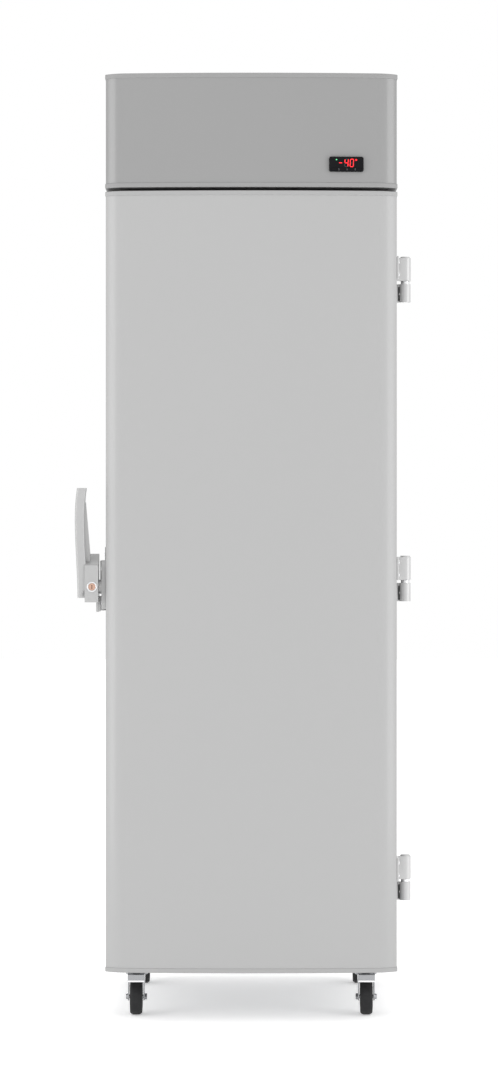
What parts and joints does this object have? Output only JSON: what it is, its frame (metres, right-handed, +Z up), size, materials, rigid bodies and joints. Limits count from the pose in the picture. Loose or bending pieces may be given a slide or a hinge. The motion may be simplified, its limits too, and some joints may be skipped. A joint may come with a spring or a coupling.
{
  "type": "medical freezer",
  "caption": "Upright medical freezer on swivel casters with an insulated cabinet, bowed hinged door, locking side lever, shelves and a refrigeration head with a digital controller.",
  "frame": {"origin": "on the floor, under the middle of the cabinet's width and depth", "axes": "+X to the hinge side, seen from the front; +Y from the door to the rear; +Z up"},
  "size_m": [0.6945, 0.7016, 1.95],
  "materials": {
    "cabinet_enamel": "satin",
    "head_enamel": "satin",
    "galvanised": "matt",
    "bare_aluminium": "satin",
    "foam": "matt",
    "stainless": "brushed",
    "white_plastic": "satin",
    "gasket_rubber": "matt",
    "trim_plastic": "satin",
    "head_trim_plastic": "satin",
    "black_plastic": "satin",
    "compressor_black": "gloss",
    "black_rubber": "matt",
    "copper": "satin",
    "gloss_black": "gloss",
    "red_light": "gloss",
    "green_light": "gloss",
    "hinge_metal": "satin",
    "latch_metal": "satin",
    "bright_steel": "polished",
    "chrome": "polished",
    "lock_brass": "satin",
    "zinc": "satin",
    "wheel_black": "matt"
  },
  "bodies": {
    "cabinet": {"base_pan": "galvanised", "breaker_frame": "white_plastic", "cabinet_foam": "foam", "cabinet_screws": "bright_steel", "caster_plates": "zinc", "compressor": "compressor_black", "compressor_grommets": "black_rubber", "condenser": "bare_aluminium", "controller_bezel": "gloss_black", "controller_housing": "black_plastic", "discharge_pipe": "copper", "display_digits": "red_light", "evaporator_plate": "bare_aluminium", "fan_motor": "compressor_black", "fan_shroud": "galvanised", "filter_drier": "copper", "head_shell": "head_enamel", "head_trims": "head_trim_plastic", "hinge_cabinet_halves": "hinge_metal", "hinge_pins": "bright_steel", "inner_liner": "stainless", "keeper_screws": "bright_steel", "latch_keeper": "latch_metal", "liquid_line": "copper", "outer_case": "cabinet_enamel", "power_inlet": "black_plastic", "rear_grille": "galvanised", "rear_panel": "galvanised", "relay_box": "black_plastic", "shelf_1": "stainless", "shelf_2": "stainless", "shelf_3": "stainless", "shelf_4": "stainless", "shelf_clips": "stainless", "shelf_uprights": "stainless", "status_lamp": "green_light", "suction_pipe": "copper", "top_cover": "galvanised"},
    "door": {"door_skin": "cabinet_enamel", "door_foam": "foam", "door_liner": "stainless", "door_gasket": "gasket_rubber", "door_trims": "trim_plastic", "hinge_door_halves": "hinge_metal", "latch_base": "latch_metal", "door_screws": "bright_steel"},
    "lever": {"latch_lever": "latch_metal", "lock_ring": "chrome"},
    "lock": {"lock_core": "lock_brass"},
    "fan": {"fan_blades": "bare_aluminium"},
    "key_1": {"controller_key_1": "gloss_black"},
    "key_2": {"controller_key_2": "gloss_black"},
    "key_3": {"controller_key_3": "gloss_black"},
    "key_4": {"controller_key_4": "gloss_black"},
    "caster_front_left": {"caster_fork_front_left": "zinc"},
    "wheel_front_left": {"caster_wheel_front_left": "wheel_black"},
    "caster_front_right": {"caster_fork_front_right": "zinc"},
    "wheel_front_right": {"caster_wheel_front_right": "wheel_black"},
    "caster_rear_left": {"caster_fork_rear_left": "zinc"},
    "wheel_rear_left": {"caster_wheel_rear_left": "wheel_black"},
    "caster_rear_right": {"caster_fork_rear_right": "zinc"},
    "wheel_rear_right": {"caster_wheel_rear_right": "wheel_black"}
  },
  "joints": [
    {"name": "door_swing", "type": "hinge", "parent": "cabinet", "child": "door", "pos_m": [0.3195, -0.27, 0.9065], "axis": [0, 0, 1], "range_deg": [0, 110]},
    {"name": "lever_pull", "type": "hinge", "parent": "door", "child": "lever", "pos_m": [-0.32, -0.302, 0.896], "axis": [1, 0, 0], "range_deg": [0, 40]},
    {"name": "lock_turn", "type": "hinge", "parent": "lever", "child": "lock", "pos_m": [-0.3277, -0.302, 0.896], "axis": [0, -1, 0], "range_deg": [0, 90]},
    {"name": "fan_spin", "type": "hinge", "parent": "cabinet", "child": "fan", "pos_m": [-0.13, 0.215, 1.816], "axis": [0, 1, 0], "continuous": true},
    {"name": "caster_swivel_front_left", "type": "hinge", "parent": "cabinet", "child": "caster_front_left", "pos_m": [-0.2406, -0.195, 0.08], "axis": [0, 0, 1], "continuous": true},
    {"name": "wheel_spin_front_left", "type": "hinge", "parent": "caster_front_left", "child": "wheel_front_left", "pos_m": [-0.2406, -0.22, 0.0375], "axis": [1, 0, 0], "continuous": true},
    {"name": "caster_swivel_front_right", "type": "hinge", "parent": "cabinet", "child": "caster_front_right", "pos_m": [0.2406, -0.195, 0.08], "axis": [0, 0, 1], "continuous": true},
    {"name": "wheel_spin_front_right", "type": "hinge", "parent": "caster_front_right", "child": "wheel_front_right", "pos_m": [0.2406, -0.22, 0.0375], "axis": [1, 0, 0], "continuous": true},
    {"name": "caster_swivel_rear_left", "type": "hinge", "parent": "cabinet", "child": "caster_rear_left", "pos_m": [-0.2406, 0.26, 0.08], "axis": [0, 0, 1], "continuous": true},
    {"name": "wheel_spin_rear_left", "type": "hinge", "parent": "caster_rear_left", "child": "wheel_rear_left", "pos_m": [-0.2406, 0.235, 0.0375], "axis": [1, 0, 0], "continuous": true},
    {"name": "caster_swivel_rear_right", "type": "hinge", "parent": "cabinet", "child": "caster_rear_right", "pos_m": [0.2406, 0.26, 0.08], "axis": [0, 0, 1], "continuous": true},
    {"name": "wheel_spin_rear_right", "type": "hinge", "parent": "caster_rear_right", "child": "wheel_rear_right", "pos_m": [0.2406, 0.235, 0.0375], "axis": [1, 0, 0], "continuous": true},
    {"name": "key_press_1", "type": "slide", "parent": "cabinet", "child": "key_1", "axis": [-0.0542, 0.9985, 0], "range_m": [0, 0.0006], "stiffness_N_per_m": 500},
    {"name": "key_press_2", "type": "slide", "parent": "cabinet", "child": "key_2", "axis": [-0.0542, 0.9985, 0], "range_m": [0, 0.0006], "stiffness_N_per_m": 500},
    {"name": "key_press_3", "type": "slide", "parent": "cabinet", "child": "key_3", "axis": [-0.0542, 0.9985, 0], "range_m": [0, 0.0006], "stiffness_N_per_m": 500},
    {"name": "key_press_4", "type": "slide", "parent": "cabinet", "child": "key_4", "axis": [-0.0542, 0.9985, 0], "range_m": [0, 0.0006], "stiffness_N_per_m": 500}
  ]
}
